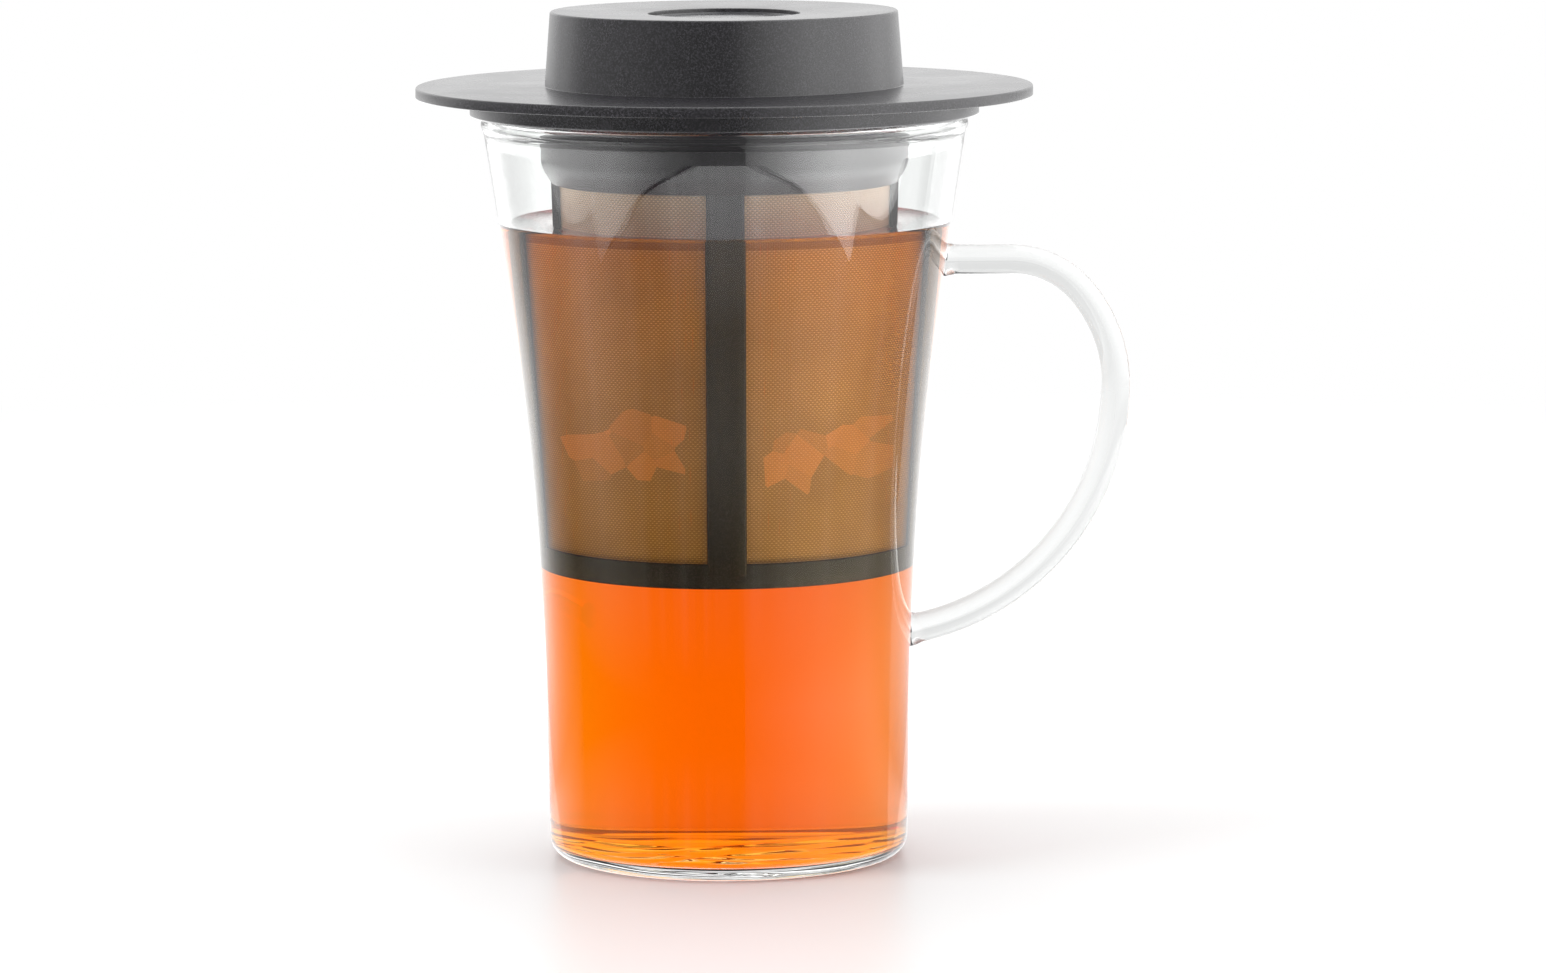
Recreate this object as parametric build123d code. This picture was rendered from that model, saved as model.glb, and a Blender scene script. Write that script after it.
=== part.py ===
"""Glass tea mug with a lift-out mesh infuser and a hat-shaped lid that lifts off.

Millimetres, +Z up. The origin is the centre of the flat underside of the mug. The round
pieces share the Z axis, and the handle points along +X.
"""

from build123d import *
from math import hypot
import os

# Mug: a glass tumbler, straight below and flared above, with a fire-polished rim.
MUG_HEIGHT = 130.2
BASE_RADIUS = 31.5
BASE_CORNER = 4.0
LOWER_WALL_SPREAD = 0.5
FLARE_START_HEIGHT = 30.0
LOWER_WALL_SLOPE = 0.02
RIM_SLOPE = 0.16
RIM_RADIUS = 42.5
RIM_BEAD_RADIUS = 1.3
RIM_BEAD_PROUD = 0.45
RIM_LAND_DEPTH = 0.12
GLASS_WALL = 1.8
GLASS_FLOOR = 3.2
INNER_CORNER = 3.0

# Handle: a glass rod, bent to an ear and welded to the wall at both ends.
HANDLE_ROD_RADIUS = 2.6
HANDLE_DROP = 25.3
HANDLE_STANDOFF = 7.5
HANDLE_CORNER_RADIUS = 16.0
HANDLE_CORNER_TURN = 50.0
HANDLE_SIDE_RADIUS = 25.7
HANDLE_SIDE_TURN = 40.0
HANDLE_LOWER_RADIUS = 43.8
HANDLE_LOWER_TURN = 82.0
WELD_SWELL = 0.8
WELD_LENGTH = 2.0
WELD_SINK = 0.6

# Infuser frame: one plastic moulding, hung on the mug rim by its flange.
FLANGE_OVERHANG = 1.9
FLANGE_THICKNESS = 3.7
FLANGE_BEVEL_HEIGHT = 1.0
FLANGE_RELIEF_DEPTH = 2.2
FLANGE_RELIEF_MARGIN = 2.4
COLLAR_GAP = 10.35
COLLAR_WALL = 1.25
COLLAR_STRAIGHT = 8.8
COLLAR_TAPER = 3.1
MESH_GRIP = 2.0
CAGE_STEP = 1.9
CAGE_GAP = 1.5
CAGE_HEIGHT = 67.2
CAGE_WALL = 1.3
RIB_COUNT = 4
RIB_WIDTH = 6.5
BOTTOM_RING_HEIGHT = 4.4
CROSS_ARM_WIDTH = 5.0
CROSS_THICKNESS = 1.4
HUB_RADIUS = 6.0

# Micro-mesh: a rolled wall and a flat floor, moulded into the frame.
MESH_THICKNESS = 0.3
MESH_CLEARANCE = 0.05

# Lid: a flat brim round a hollow crown, with a badge disc let into the crown's top.
BRIM_OVERHANG = 9.4
BRIM_THICKNESS = 1.8
BRIM_EDGE_ROUNDING = 0.5
CROWN_STEP = 0.4
CROWN_TAPER = 1.0
CROWN_HEIGHT = 13.0
CROWN_WALL = 1.6
CROWN_TOP_THICKNESS = 2.4
CROWN_TOP_ROUNDING = 0.8
CROWN_BASE_ROUNDING = 0.6
LIP_DEPTH = 3.5
LIP_WALL = 1.3
LIP_CLEARANCE = 0.4
RECESS_RADIUS = 13.3
RECESS_DEPTH = 1.3
BADGE_THICKNESS = 0.7
BADGE_CLEARANCE = 0.1

# Radii that follow the mug's rim and base.
FLARE_START_RADIUS = BASE_RADIUS + LOWER_WALL_SPREAD
FLANGE_RADIUS = RIM_RADIUS + FLANGE_OVERHANG
COLLAR_RADIUS = RIM_RADIUS - COLLAR_GAP
MOUTH_RADIUS = COLLAR_RADIUS - COLLAR_WALL
CAGE_TOP_RADIUS = COLLAR_RADIUS - CAGE_STEP
CAGE_BOTTOM_RADIUS = BASE_RADIUS - GLASS_WALL - CAGE_GAP
BRIM_RADIUS = FLANGE_RADIUS + BRIM_OVERHANG
CROWN_BASE_RADIUS = MOUTH_RADIUS + CROWN_STEP
CROWN_TOP_RADIUS = CROWN_BASE_RADIUS - CROWN_TAPER
WELD_RADIUS = HANDLE_ROD_RADIUS + WELD_SWELL

# Heights where the pieces meet.
FLANGE_TOP = MUG_HEIGHT + FLANGE_THICKNESS
COLLAR_TAPER_TOP = MUG_HEIGHT - COLLAR_STRAIGHT
CAGE_TOP = COLLAR_TAPER_TOP - COLLAR_TAPER
CAGE_BOTTOM = CAGE_TOP - CAGE_HEIGHT
MESH_FLOOR_BOTTOM = CAGE_BOTTOM + CROSS_THICKNESS
MESH_WALL_TOP = CAGE_TOP + MESH_GRIP
BRIM_TOP = FLANGE_TOP + BRIM_THICKNESS
CROWN_TOP = BRIM_TOP + CROWN_HEIGHT
BEAD_HEIGHT = MUG_HEIGHT + RIM_LAND_DEPTH - RIM_BEAD_RADIUS

# A tool that cuts past a face runs this far beyond it.
OVERCUT = 5.0
# Halvings used to find where the handle's centre line leaves the wall.
CROSSING_STEPS = 30


def turned(sketch):
    """The solid of revolution of a half section drawn in the XZ plane."""
    return revolve(sketch, axis=Axis.Z)


def polygon_section(*corners):
    """A closed half section from its corners, each given as (radius, height)."""
    return Plane.XZ * make_face(Polyline(*corners, close=True))


def wall_side(inset):
    """The mug's wall line from the flare's start to the rim, moved in by the inset."""
    third = (BEAD_HEIGHT - FLARE_START_HEIGHT) / 3
    low = Vector(FLARE_START_RADIUS - inset, FLARE_START_HEIGHT)
    high = Vector(RIM_RADIUS - RIM_BEAD_PROUD - inset, BEAD_HEIGHT)
    low_handle = low + Vector(LOWER_WALL_SLOPE * third, third)
    high_handle = high - Vector(RIM_SLOPE * third, third)
    return Bezier(low, low_handle, high_handle, high)


def wall_outline(inset, floor, corner):
    """The closed half outline inside a wall line, on a rounded bottom at the floor height."""
    side = wall_side(inset)
    corner_top = (BASE_RADIUS - inset, floor + corner)
    rounding = RadiusArc((BASE_RADIUS - inset - corner, floor), corner_top, -corner)
    lower_wall = Line(corner_top, side @ 0)
    bottom = Line((0, floor), rounding @ 0)
    top = Line(side @ 1, (0, (side @ 1).Y))
    axis_line = Line(top @ 1, (0, floor))
    return make_face(Curve() + [bottom, rounding, lower_wall, side, top, axis_line])


def mug_envelope():
    """The mug's outer shape as a full body, which the handle's ends are cut to."""
    return turned(Plane.XZ * wall_outline(0, 0, BASE_CORNER))


def mug_glass():
    """The tumbler with its thick floor and its beaded rim, which has a narrow flat land."""
    outer = wall_outline(0, 0, BASE_CORNER)
    inner = wall_outline(GLASS_WALL, GLASS_FLOOR, INNER_CORNER)
    bead = Pos(RIM_RADIUS - RIM_BEAD_RADIUS, BEAD_HEIGHT) * Circle(RIM_BEAD_RADIUS)
    land = Pos(RIM_RADIUS, MUG_HEIGHT + OVERCUT / 2) * Rectangle(RIM_RADIUS, OVERCUT)
    return turned(Plane.XZ * (outer - inner + bead - land))


def handle_path():
    """The rod's centre line, from the mug's axis out, round, and back in to near the axis."""
    height = MUG_HEIGHT - HANDLE_DROP
    top = Line((0, height), (RIM_RADIUS + HANDLE_STANDOFF, height))
    corner = JernArc(top @ 1, top % 1, HANDLE_CORNER_RADIUS, -HANDLE_CORNER_TURN)
    side = JernArc(corner @ 1, corner % 1, HANDLE_SIDE_RADIUS, -HANDLE_SIDE_TURN)
    lower = JernArc(side @ 1, side % 1, HANDLE_LOWER_RADIUS, -HANDLE_LOWER_TURN)
    inward = Line(lower @ 1, lower @ 1 + lower % 1 * BASE_RADIUS)
    return Plane.XZ * (Curve() + [top, corner, side, lower, inward])


def weld_flare(point, outward):
    """A tapered glass collar round the rod's end, from inside the wall to its sunk tip."""
    slope = (WELD_RADIUS - HANDLE_ROD_RADIUS) / WELD_LENGTH
    reach = WELD_LENGTH + WELD_SINK
    wide = WELD_RADIUS + slope * GLASS_WALL
    narrow = HANDLE_ROD_RADIUS - slope * WELD_SINK
    cone = Cone(wide, narrow, reach + GLASS_WALL)
    middle = point + outward * ((reach - GLASS_WALL) / 2)
    return Plane(middle, z_dir=outward) * cone


def wall_crossing(path, inside, outside):
    """The point and share of the path, between two shares, where it leaves the wall."""
    envelope = mug_envelope()
    for _ in range(CROSSING_STEPS):
        middle = (inside + outside) / 2
        if envelope.is_inside(path @ middle):
            inside = middle
        else:
            outside = middle
    return path @ outside, outside


def mug_handle():
    """The bent rod with its two weld collars, cut to the mug's outer wall."""
    path = handle_path()
    rod = sweep(Plane(path @ 0, z_dir=path % 0) * Circle(HANDLE_ROD_RADIUS), path)
    upper, upper_share = wall_crossing(path, 0, 0.5)
    lower, lower_share = wall_crossing(path, 1, 0.5)
    rod += weld_flare(upper, path % upper_share)
    rod += weld_flare(lower, -(path % lower_share))
    pieces = (rod - mug_envelope()).solids()
    return max(pieces, key=lambda piece: piece.volume)


def cage_radius(height):
    """The outer radius of the tapered basket at a height."""
    share = (height - CAGE_BOTTOM) / CAGE_HEIGHT
    return CAGE_BOTTOM_RADIUS + (CAGE_TOP_RADIUS - CAGE_BOTTOM_RADIUS) * share


def cage_band(low, high, outer_inset, inner_inset):
    """A tapered ring between two insets from the basket's outside."""
    return turned(
        polygon_section(
            (cage_radius(low) - inner_inset, low),
            (cage_radius(low) - outer_inset, low),
            (cage_radius(high) - outer_inset, high),
            (cage_radius(high) - inner_inset, high),
        )
    )


def flange():
    """The ring on the mug's rim, bevelled below its edge and relieved underneath."""
    ring = turned(
        polygon_section(
            (MOUTH_RADIUS, MUG_HEIGHT),
            (RIM_RADIUS, MUG_HEIGHT),
            (FLANGE_RADIUS, MUG_HEIGHT + FLANGE_BEVEL_HEIGHT),
            (FLANGE_RADIUS, FLANGE_TOP),
            (MOUTH_RADIUS, FLANGE_TOP),
        )
    )
    relief_inner = COLLAR_RADIUS + FLANGE_RELIEF_MARGIN
    relief_outer = RIM_RADIUS - 2 * RIM_BEAD_RADIUS - FLANGE_RELIEF_MARGIN
    relief = turned(
        polygon_section(
            (relief_inner, MUG_HEIGHT - OVERCUT),
            (relief_outer, MUG_HEIGHT - OVERCUT),
            (relief_outer, MUG_HEIGHT + FLANGE_RELIEF_DEPTH),
            (relief_inner, MUG_HEIGHT + FLANGE_RELIEF_DEPTH),
        )
    )
    return ring - relief


def collar():
    """The skirt under the flange, tapering in to the basket and gripping the mesh."""
    grip_top = CAGE_TOP + MESH_GRIP + MESH_CLEARANCE
    taper_top = COLLAR_TAPER_TOP + COLLAR_WALL
    return turned(
        polygon_section(
            (cage_radius(CAGE_TOP) - CAGE_WALL, CAGE_TOP),
            (cage_radius(CAGE_TOP), CAGE_TOP),
            (COLLAR_RADIUS, COLLAR_TAPER_TOP),
            (COLLAR_RADIUS, MUG_HEIGHT),
            (MOUTH_RADIUS, MUG_HEIGHT),
            (MOUTH_RADIUS, taper_top),
            (cage_radius(grip_top) - CAGE_WALL, grip_top),
        )
    )


def ribs():
    """The upright ribs, evenly spaced from the handle side and following the taper."""
    band = cage_band(CAGE_BOTTOM, CAGE_TOP, 0, CAGE_WALL)
    reach = CAGE_TOP_RADIUS + OVERCUT
    slots = Part()
    for number in range(RIB_COUNT):
        slab = Pos(reach / 2, 0, (CAGE_BOTTOM + CAGE_TOP) / 2) * Box(reach, RIB_WIDTH, CAGE_HEIGHT)
        slots += Rot(Z=360 * number / RIB_COUNT) * slab
    return band & slots


def bottom_cross():
    """The spider under the mesh floor: a hub with one arm to each rib."""
    reach = cage_radius(CAGE_BOTTOM) - CAGE_WALL / 2
    middle = CAGE_BOTTOM + CROSS_THICKNESS / 2
    cross = Pos(0, 0, middle) * Cylinder(HUB_RADIUS, CROSS_THICKNESS)
    for number in range(RIB_COUNT):
        arm = Pos(reach / 2, 0, middle) * Box(reach, CROSS_ARM_WIDTH, CROSS_THICKNESS)
        cross += Rot(Z=360 * number / RIB_COUNT) * arm
    return cross


def infuser_frame():
    """Flange, collar, ribs, bottom ring and cross, all one moulding."""
    ring = cage_band(CAGE_BOTTOM, CAGE_BOTTOM + BOTTOM_RING_HEIGHT, 0, CAGE_WALL)
    return flange() + collar() + ribs() + ring + bottom_cross()


def infuser_mesh_wall():
    """The rolled mesh just inside the ribs, from the cross up into the collar."""
    outer = CAGE_WALL + MESH_CLEARANCE
    return cage_band(MESH_FLOOR_BOTTOM, MESH_WALL_TOP, outer, outer + MESH_THICKNESS)


def infuser_mesh_floor():
    """The mesh disc that lies on the cross, inside the foot of the mesh wall."""
    wall_inside = CAGE_WALL + MESH_CLEARANCE + MESH_THICKNESS
    radius = cage_radius(MESH_FLOOR_BOTTOM) - wall_inside - MESH_CLEARANCE
    return Pos(0, 0, MESH_FLOOR_BOTTOM + MESH_THICKNESS / 2) * Cylinder(radius, MESH_THICKNESS)


def lid_shell():
    """The brim, the hollow crown with its round recess, and the lip that centres the lid."""
    lip_outer = MOUTH_RADIUS - LIP_CLEARANCE
    lip_inner = lip_outer - LIP_WALL
    hollow_top = CROWN_TOP - CROWN_TOP_THICKNESS
    draft = CROWN_TAPER / CROWN_HEIGHT
    hollow_base = CROWN_BASE_RADIUS - CROWN_WALL
    hollow_inner = hollow_base - draft * (hollow_top - BRIM_TOP)
    shell = turned(
        polygon_section(
            (0, hollow_top),
            (hollow_inner, hollow_top),
            (hollow_base, BRIM_TOP),
            (lip_inner, FLANGE_TOP - LIP_DEPTH),
            (lip_outer, FLANGE_TOP - LIP_DEPTH),
            (lip_outer, FLANGE_TOP),
            (BRIM_RADIUS, FLANGE_TOP),
            (BRIM_RADIUS, BRIM_TOP),
            (CROWN_BASE_RADIUS, BRIM_TOP),
            (CROWN_TOP_RADIUS, CROWN_TOP),
            (RECESS_RADIUS, CROWN_TOP),
            (RECESS_RADIUS, CROWN_TOP - RECESS_DEPTH),
            (0, CROWN_TOP - RECESS_DEPTH),
        )
    )
    roundings = (
        (CROWN_TOP_RADIUS, CROWN_TOP, CROWN_TOP_ROUNDING),
        (CROWN_BASE_RADIUS, BRIM_TOP, CROWN_BASE_ROUNDING),
        (BRIM_RADIUS, BRIM_TOP, BRIM_EDGE_ROUNDING),
        (BRIM_RADIUS, FLANGE_TOP, BRIM_EDGE_ROUNDING),
    )
    for radius, height, rounding in roundings:
        shell = fillet(round_edge(shell, radius, height), rounding)
    return shell


def round_edge(solid, radius, height):
    """The circular edge of a turned solid that is nearest a radius and height."""
    circles = solid.edges().filter_by(GeomType.CIRCLE)
    return min(circles, key=lambda edge: hypot(edge.radius - radius, edge.center().Z - height))


def lid_badge():
    """The plain disc let into the crown's recess."""
    floor = CROWN_TOP - RECESS_DEPTH
    disc = Cylinder(RECESS_RADIUS - BADGE_CLEARANCE, BADGE_THICKNESS)
    return Pos(0, 0, floor + BADGE_THICKNESS / 2) * disc


NODES = {
    "mug_glass": mug_glass,
    "mug_handle": mug_handle,
    "infuser_frame": infuser_frame,
    "infuser_mesh_wall": infuser_mesh_wall,
    "infuser_mesh_floor": infuser_mesh_floor,
    "lid_shell": lid_shell,
    "lid_badge": lid_badge,
}

os.makedirs("parts", exist_ok=True)
for name, build in NODES.items():
    export_step(build(), f"parts/{name}.step")
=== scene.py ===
"""Looks of the glass tea mug, its mesh infuser and its hat-shaped lid.

Profiles are in millimetres, as (radius, height) pairs round the mug's axis, and the mesh
builders turn them to metres. The front of the mug faces -Y and its handle points to +X.
"""

from math import atan, atan2, cos, degrees, exp, hypot, pi, radians, sin, sqrt, tan

import bmesh
import bpy
from mathutils import Matrix, Vector, noise


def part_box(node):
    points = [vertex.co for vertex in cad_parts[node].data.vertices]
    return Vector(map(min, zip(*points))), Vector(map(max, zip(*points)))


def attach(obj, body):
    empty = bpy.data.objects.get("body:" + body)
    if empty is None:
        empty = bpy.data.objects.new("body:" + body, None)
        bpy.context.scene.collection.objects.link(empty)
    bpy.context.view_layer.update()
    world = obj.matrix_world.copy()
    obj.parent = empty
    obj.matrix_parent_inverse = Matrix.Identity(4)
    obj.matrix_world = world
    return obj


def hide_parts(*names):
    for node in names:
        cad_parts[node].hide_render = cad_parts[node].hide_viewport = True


MM = 0.001

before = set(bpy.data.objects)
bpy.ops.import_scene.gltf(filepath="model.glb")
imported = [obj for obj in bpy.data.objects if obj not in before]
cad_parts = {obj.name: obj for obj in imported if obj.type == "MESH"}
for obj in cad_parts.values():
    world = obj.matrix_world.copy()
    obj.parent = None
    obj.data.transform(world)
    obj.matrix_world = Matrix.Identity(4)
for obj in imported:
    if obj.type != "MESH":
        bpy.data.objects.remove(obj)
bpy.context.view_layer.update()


def box_mm(node):
    """A CAD node's lowest and highest corner in millimetres."""
    low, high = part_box(node)
    return low / MM, high / MM


mug_low, mug_high = box_mm("mug_glass")
frame_low, frame_high = box_mm("infuser_frame")
wall_low, wall_high = box_mm("infuser_mesh_wall")
floor_low, floor_high = box_mm("infuser_mesh_floor")
lid_low, lid_high = box_mm("lid_shell")
badge_low, badge_high = box_mm("lid_badge")

# Mug.
MUG_HEIGHT = mug_high.z
RIM_RADIUS = mug_high.x
BASE_RADIUS = 31.5
BASE_CORNER = 3.3
FLARE_START_RADIUS = 32.0
FLARE_START_HEIGHT = 30.0
LOWER_WALL_SLOPE = 0.02
RIM_SLOPE = 0.16
BEAD_RADIUS = 1.05
BEAD_HALF_HEIGHT = 1.3
BEAD_PROUD = 0.25
BEAD_HEIGHT = MUG_HEIGHT + 0.12 - BEAD_HALF_HEIGHT
GLASS_WALL = 1.8
GLASS_FLOOR = 2.45
INNER_CORNER = 1.0
AROUND = 288

# Handle.
ROD_RADIUS = 2.6
HANDLE_TOP = 104.9
STRAIGHT_END = 50.0
# Each bend of the handle's centre line: its radius and its turn in degrees.
HANDLE_BENDS = ((16.0, 50.0), (25.7, 40.0), (43.8, 81.0))
WELD_RADIUS = 3.0
WELD_LENGTH = 1.6
ROD_AROUND = 64
ROD_STEP = 0.8

# Tea.
TEA_LEVEL = 111.4
MENISCUS_RISE = 0.8
MENISCUS_REACH = 1.7
TEA_GAP = 0.03

# Infuser.
FLANGE_TOP = frame_high.z
FLANGE_RADIUS = frame_high.x
FLANGE_BEVEL = 0.55
COLLAR_RADIUS = 32.15
COLLAR_WALL = 1.25
COLLAR_TAPER_TOP = 122.1
CAGE_TOP = 119.0
CAGE_BOTTOM = frame_low.z
CAGE_TOP_RADIUS = 30.25
CAGE_BOTTOM_RADIUS = 28.2
CAGE_WALL = 1.3
RING_HEIGHT = 4.4
RIB_COUNT = 4
RIB_WIDTH = 6.5
ARM_WIDTH = 5.0
ARM_HEIGHT = floor_low.z - frame_low.z
HUB_RADIUS = 6.0
MESH_INSET = 0.05
MESH_THICKNESS = floor_high.z - floor_low.z

# Lid.
BRIM_RADIUS = lid_high.x
BRIM_TOP = FLANGE_TOP + 1.8
CROWN_TOP = lid_high.z
CROWN_BASE_RADIUS = 31.3
CROWN_TOP_RADIUS = 30.3
CROWN_WALL = 1.6
CROWN_ROOF = 2.9
LIP_BOTTOM = lid_low.z
LIP_OUTER = 30.5
LIP_WALL = 1.3
CROWN_DISH = 0.5
RECESS_RADIUS = 13.3
RECESS_FLOOR = badge_low.z - CROWN_DISH


# ---------------------------------------------------------------- mesh builders


def rounded(corners, steps=6):
    """A profile with round corners, from (radius, height, rounding) triples, open or closed."""
    points = []
    count = len(corners)
    for number, (x, z, rounding) in enumerate(corners):
        here = Vector((x, z))
        if not rounding:
            points.append((x, z))
            continue
        before = Vector(corners[number - 1][:2]) - here
        after = Vector(corners[(number + 1) % count][:2]) - here
        half = before.angle(after) / 2
        reach = rounding / tan(half)
        middle = here + (before.normalized() + after.normalized()).normalized() * (rounding / sin(half))
        start = here + before.normalized() * reach - middle
        end = here + after.normalized() * reach - middle
        sweep = start.angle_signed(end)
        for step in range(steps + 1):
            spin = Matrix.Rotation(-sweep * step / steps, 2)
            points.append(tuple(middle + spin @ start))
    return points


def object_from(mesh_builder, name):
    """A new object in the scene from a filled bmesh."""
    mesh = bpy.data.meshes.new(name)
    bmesh.ops.recalc_face_normals(mesh_builder, faces=mesh_builder.faces)
    mesh_builder.to_mesh(mesh)
    mesh_builder.free()
    made = bpy.data.objects.new(name, mesh)
    bpy.context.scene.collection.objects.link(made)
    return made


def turned(name, profile, around=AROUND, closed=True):
    """A solid of revolution from a profile; a point on the axis becomes one vertex."""
    build = bmesh.new()
    rings = []
    for radius, height in profile:
        if radius < 1e-6:
            rings.append([build.verts.new((0, 0, height * MM))])
            continue
        ring = []
        for number in range(around):
            turn = 2 * pi * number / around
            ring.append(build.verts.new((radius * MM * cos(turn), radius * MM * sin(turn), height * MM)))
        rings.append(ring)
    pairs = list(zip(rings, rings[1:]))
    if closed:
        pairs.append((rings[-1], rings[0]))
    for low, high in pairs:
        join_rings(build, low, high)
    return object_from(build, name)


def join_rings(build, low, high):
    """Faces between two rings of vertices, either of which may be a single point."""
    count = max(len(low), len(high))
    if count == 1:
        return
    for number in range(count):
        after = (number + 1) % count
        corners = [low[number % len(low)], low[after % len(low)]]
        corners += [high[after % len(high)], high[number % len(high)]]
        corners = list(dict.fromkeys(corners))
        if len(corners) > 2:
            build.faces.new(corners)


def smoothed(made, angle=35):
    """Smooth shading, kept sharp where faces meet at more than an angle in degrees."""
    made.data.polygons.foreach_set("use_smooth", [True] * len(made.data.polygons))
    made.data.set_sharp_from_angle(angle=radians(angle))
    return made


def combined(base, others, operation="UNION"):
    """The base with other closed pieces fused to it or cut from it."""
    for other in others:
        modifier = base.modifiers.new("cut", "BOOLEAN")
        modifier.operation = operation
        modifier.solver = "EXACT"
        modifier.object = other
    graph = bpy.context.evaluated_depsgraph_get()
    mesh = bpy.data.meshes.new_from_object(base.evaluated_get(graph))
    base.modifiers.clear()
    base.data = mesh
    for other in others:
        bpy.data.objects.remove(other)
    return base


def finished(made, body, slot, nodes, *materials):
    """Gives a piece its materials and its body, and hides the CAD nodes it stands for; its slot is not used."""
    made.data.materials.clear()
    for material in materials:
        made.data.materials.append(material)
    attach(made, body)
    if nodes:
        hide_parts(*nodes)
    return made


# ---------------------------------------------------------------- material helpers


class Nodes:
    """A small wrapper that adds nodes to a material's or world's tree and links them."""

    def __init__(self, owner):
        owner.use_nodes = True
        self.tree = owner.node_tree
        self.tree.nodes.clear()

    def add(self, kind, settings=None, **inputs):
        """A node of a kind; each input is a value or another node's output socket."""
        node = self.tree.nodes.new(kind)
        for name, value in (settings or {}).items():
            setattr(node, name, value)
        for name, value in inputs.items():
            self.set(node, name.replace("_", " "), value)
        return node

    def set(self, node, name, value):
        """Sets or links one input, named by its label or its number."""
        socket = node.inputs[int(name) if name.isdigit() else name]
        if isinstance(value, bpy.types.NodeSocket):
            self.tree.links.new(value, socket)
        else:
            socket.default_value = value

    def math(self, operation, *values, clamp=False):
        """The output of a Math node."""
        node = self.tree.nodes.new("ShaderNodeMath")
        node.operation = operation
        node.use_clamp = clamp
        for number, value in enumerate(values):
            self.set(node, str(number), value)
        return node.outputs[0]

    def noise(self, vector, scale, detail=2.0, roughness=0.5):
        """The output of a Noise Texture."""
        node = self.add("ShaderNodeTexNoise", Vector=vector, Scale=scale, Detail=detail)
        node.inputs["Roughness"].default_value = roughness
        return node.outputs["Fac"]

    def mix_colour(self, share, first, second):
        """The output of a colour Mix node."""
        node = self.tree.nodes.new("ShaderNodeMix")
        node.data_type = "RGBA"
        for name, value in ((0, share), (6, first), (7, second)):
            if isinstance(value, bpy.types.NodeSocket):
                self.tree.links.new(value, node.inputs[name])
            else:
                node.inputs[name].default_value = value
        return node.outputs[2]

    def mix_value(self, share, first, second):
        """The output of a float Mix node."""
        node = self.tree.nodes.new("ShaderNodeMix")
        for name, value in (("0", share), ("2", first), ("3", second)):
            self.set(node, name, value)
        return node.outputs[0]

    def mix_shader(self, share, first, second):
        """The output of a Mix Shader node."""
        node = self.tree.nodes.new("ShaderNodeMixShader")
        for number, value in enumerate((share, first, second)):
            self.set(node, str(number), value)
        return node.outputs[0]

    def remap(self, value, low, high, new_low, new_high):
        """A clamped Map Range."""
        node = self.tree.nodes.new("ShaderNodeMapRange")
        for number, item in enumerate((value, low, high, new_low, new_high)):
            self.set(node, str(number), item)
        return node.outputs[0]


def colour(red, green, blue):
    """A colour with full alpha."""
    return (red, green, blue, 1.0)


def surface(nodes, shader):
    """Links a shader to the material's output."""
    out = nodes.add("ShaderNodeOutputMaterial")
    nodes.tree.links.new(shader, out.inputs["Surface"])
    return out


def lets_lamps_through(nodes, shader, tint):
    """The shader, swapped for tinted clear passage where a lamp's light crosses it."""
    path = nodes.add("ShaderNodeLightPath")
    clear = nodes.add("ShaderNodeBsdfTransparent", Color=tint)
    mix = nodes.add("ShaderNodeMixShader")
    nodes.tree.links.new(path.outputs["Is Shadow Ray"], mix.inputs[0])
    nodes.tree.links.new(shader, mix.inputs[1])
    nodes.tree.links.new(clear.outputs[0], mix.inputs[2])
    return mix.outputs[0]


# ---------------------------------------------------------------- materials

GLASS_IOR = 1.47
TEA_IOR = 1.333
# The bare glass above the tea darkens towards its outline, a painted shade for the dark studio
# its edges would show: from and to which facing, how much.
OUTLINE_FROM, OUTLINE_TO, OUTLINE_SHADE = 0.45, 0.85, 0.34


def glass_material(name, ior):
    """Clear borosilicate with the faint ripple of blown glass, and painted shade at its outline above the tea.
    """
    material = bpy.data.materials.new(name)
    nodes = Nodes(material)
    place = nodes.add("ShaderNodeTexCoord").outputs["Object"]
    ripple = nodes.noise(place, 38.0, detail=1.0)
    bump = nodes.add("ShaderNodeBump", Strength=0.25, Distance=0.00006, Height=ripple)
    glass = nodes.add("ShaderNodeBsdfPrincipled", Roughness=0.0, IOR=ior)
    glass.inputs["Base Color"].default_value = colour(0.985, 0.995, 0.99)
    glass.inputs["Transmission Weight"].default_value = 1.0
    nodes.tree.links.new(bump.outputs[0], glass.inputs["Normal"])
    height = nodes.add("ShaderNodeSeparateXYZ", Vector=place).outputs[2]
    bare = nodes.remap(height, TEA_LEVEL * MM, (TEA_LEVEL + 2) * MM, 0.0, OUTLINE_SHADE)
    facing = nodes.add("ShaderNodeLayerWeight", Blend=0.5).outputs["Facing"]
    edge = nodes.math("MULTIPLY", bare, nodes.remap(facing, OUTLINE_FROM, OUTLINE_TO, 0.0, 1.0))
    # Painted shade: black is mixed into the bare glass towards its outline.
    black = nodes.add("ShaderNodeEmission", Strength=0.0).outputs[0]
    outline_shaded = nodes.mix_shader(edge, glass.outputs[0], black)
    surface(nodes, lets_lamps_through(nodes, outline_shaded, colour(0.96, 0.97, 0.97)))
    return material


def tea_material(name, ior, tint):
    """Orange tea: clear, and coloured by what it absorbs along the way."""
    material = bpy.data.materials.new(name)
    nodes = Nodes(material)
    tea = nodes.add("ShaderNodeBsdfPrincipled", Roughness=0.0, IOR=ior)
    tea.inputs["Base Color"].default_value = tint
    tea.inputs["Transmission Weight"].default_value = 1.0
    out = surface(nodes, lets_lamps_through(nodes, tea.outputs[0], colour(0.56, 0.42, 0.4)))
    absorb = nodes.add("ShaderNodeVolumeAbsorption", Density=TEA_DENSITY)
    absorb.inputs["Color"].default_value = TEA_COLOUR
    nodes.tree.links.new(absorb.outputs[0], out.inputs["Volume"])
    return material


TEA_DENSITY = 145.0
TEA_COLOUR = colour(0.9992, 0.767, 0.02)


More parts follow.
